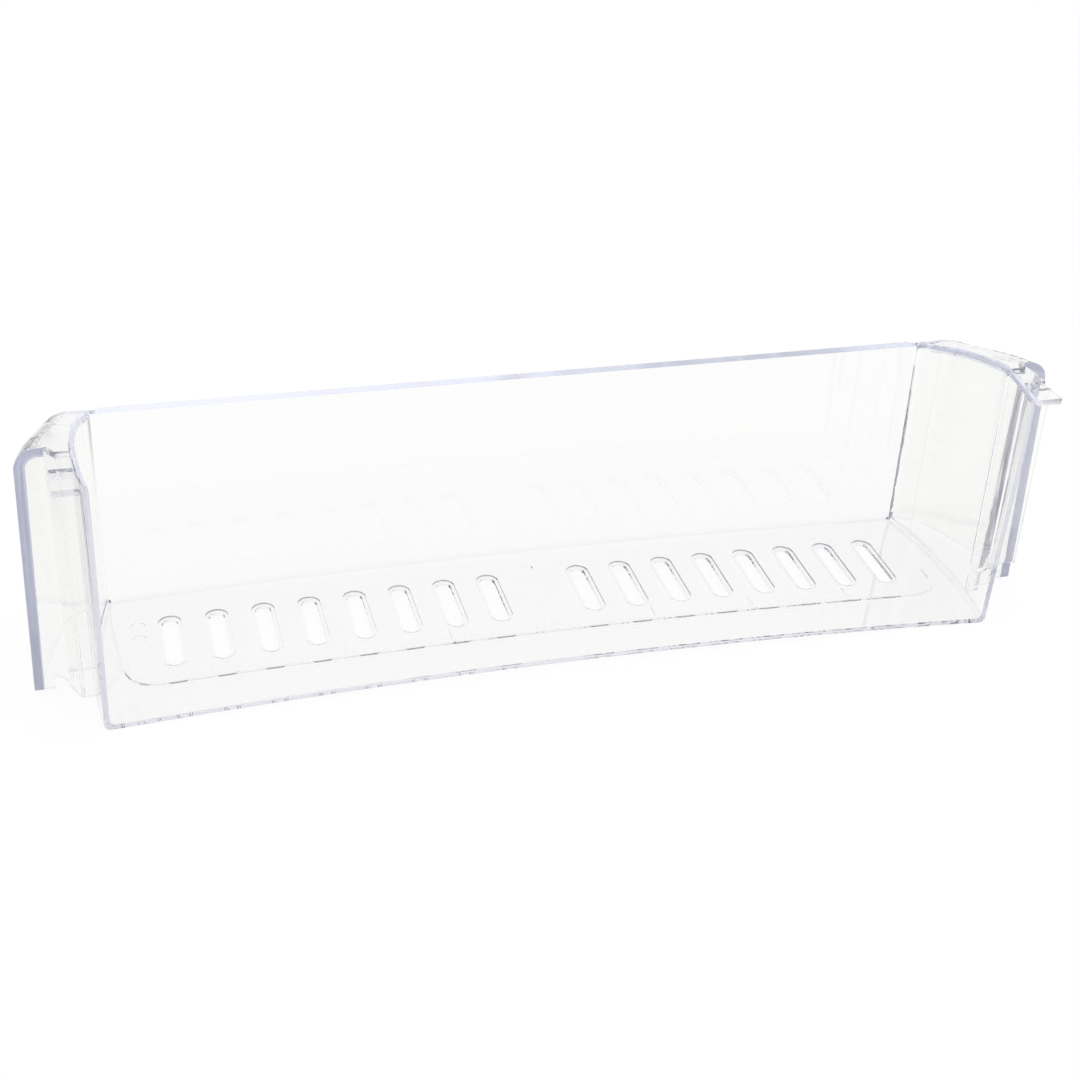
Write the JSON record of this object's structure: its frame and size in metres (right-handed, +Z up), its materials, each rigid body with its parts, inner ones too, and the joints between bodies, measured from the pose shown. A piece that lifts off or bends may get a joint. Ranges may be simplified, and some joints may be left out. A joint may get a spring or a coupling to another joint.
{
  "type": "refrigerator door shelf",
  "caption": "Clear moulded refrigerator door shelf: an open tray with a tall front wall, drain slots in its arched floor and a hollow hook at each end.",
  "frame": {"origin": "under the middle of the shelf, on the surface that it stands on: the centre of the bounding box's base", "axes": "+X along the shelf, +Y from the door side to the front wall, +Z up"},
  "size_m": [0.4798, 0.1085, 0.1268],
  "materials": {
    "clear_polystyrene": "clear, polished"
  },
  "bodies": {
    "root": {"door_shelf": "clear_polystyrene"}
  },
  "joints": []
}
